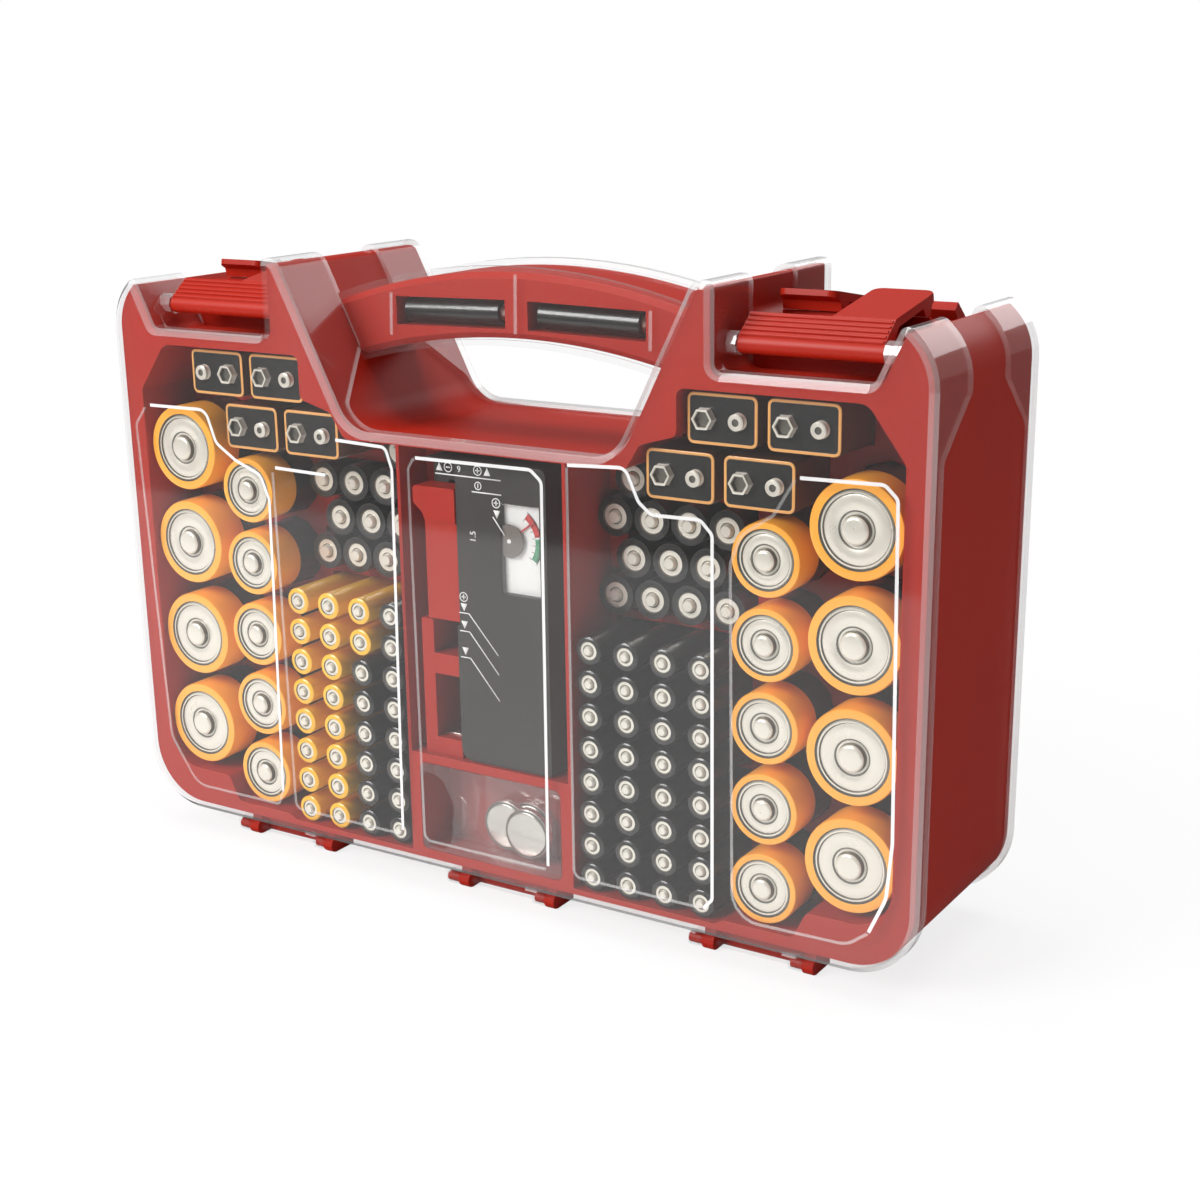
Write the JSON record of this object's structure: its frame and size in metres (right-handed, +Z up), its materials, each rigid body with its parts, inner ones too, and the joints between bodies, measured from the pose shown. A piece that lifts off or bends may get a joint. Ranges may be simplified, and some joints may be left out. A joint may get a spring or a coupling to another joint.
{
  "type": "battery organiser case",
  "caption": "Portable battery organiser case with clear hinged lids front and back, latches, arched handle, cell wells, a battery tester and a coin-cell drawer.",
  "frame": {"origin": "centre of the case's width and depth, at the height of the flat undersides of the hinge brackets it stands on", "axes": "+X to the right seen from the front, +Y from the front lid to the back lid, +Z up to the handle"},
  "size_m": [0.3528, 0.092, 0.2405],
  "materials": {
    "red_abs": "semi-gloss moulded",
    "clear_styrene": "clear",
    "grey_abs": "fine texture",
    "dial_white": "printed",
    "needle_red": "matt",
    "plated_steel": "bright",
    "cell_orange": "gloss sleeve",
    "cell_dark": "gloss sleeve"
  },
  "bodies": {
    "case": {"case_body": "red_abs", "middle_bay": "red_abs", "handle_arch": "red_abs", "hinge_brackets_front": "red_abs", "hinge_brackets_back": "red_abs", "tester_housing": "grey_abs", "meter_dial": "dial_white", "meter_pivot_cover": "grey_abs", "meter_window": "clear_styrene", "test_contact": "plated_steel", "coin_drawer": "clear_styrene", "coin_cells": "plated_steel", "d_cells": "cell_orange", "c_cells": "cell_orange", "nine_volt_cells": "cell_dark", "nine_volt_terminals": "plated_steel", "aa_cells_left": "cell_dark", "aa_cells_right": "cell_dark", "aaa_cells_left": "cell_dark", "aaa_cells_right": "cell_dark", "aa_cells_back": "cell_dark", "handle_cells": "cell_dark"},
    "front_lid": {"front_lid": "clear_styrene"},
    "back_lid": {"back_lid": "clear_styrene"},
    "latch_front_left": {"latch_front_left": "red_abs"},
    "latch_front_right": {"latch_front_right": "red_abs"},
    "latch_back_left": {"latch_back_left": "red_abs"},
    "latch_back_right": {"latch_back_right": "red_abs"},
    "tester_slider": {"tester_slider": "red_abs"},
    "meter_needle": {"meter_needle": "needle_red"}
  },
  "joints": [
    {"name": "front_lid_hinge", "type": "hinge", "parent": "case", "child": "front_lid", "pos_m": [0, -0.035, 0.003], "axis": [1, 0, 0], "range_deg": [0, 110]},
    {"name": "back_lid_hinge", "type": "hinge", "parent": "case", "child": "back_lid", "pos_m": [0, 0.035, 0.003], "axis": [-1, 0, 0], "range_deg": [0, 110]},
    {"name": "latch_front_left_hinge", "type": "hinge", "parent": "front_lid", "child": "latch_front_left", "pos_m": [-0.1275, -0.032, 0.2193], "axis": [1, 0, 0], "range_deg": [0, 100]},
    {"name": "latch_front_right_hinge", "type": "hinge", "parent": "front_lid", "child": "latch_front_right", "pos_m": [0.1275, -0.032, 0.2193], "axis": [1, 0, 0], "range_deg": [0, 100]},
    {"name": "latch_back_left_hinge", "type": "hinge", "parent": "back_lid", "child": "latch_back_left", "pos_m": [-0.1275, 0.032, 0.2193], "axis": [-1, 0, 0], "range_deg": [0, 100]},
    {"name": "latch_back_right_hinge", "type": "hinge", "parent": "back_lid", "child": "latch_back_right", "pos_m": [0.1275, 0.032, 0.2193], "axis": [-1, 0, 0], "range_deg": [0, 100]},
    {"name": "tester_slider_slide", "type": "slide", "parent": "case", "child": "tester_slider", "axis": [0, 0, 1], "range_m": [0, 0.01], "stiffness_N_per_m": 60, "springref_m": -0.01},
    {"name": "meter_needle_hinge", "type": "hinge", "parent": "case", "child": "meter_needle", "pos_m": [0.011, -0.0391, 0.143], "axis": [0, 1, 0], "range_deg": [0, 70], "stiffness_Nm_per_rad": 0.000005, "springref_deg": -17.19}
  ]
}
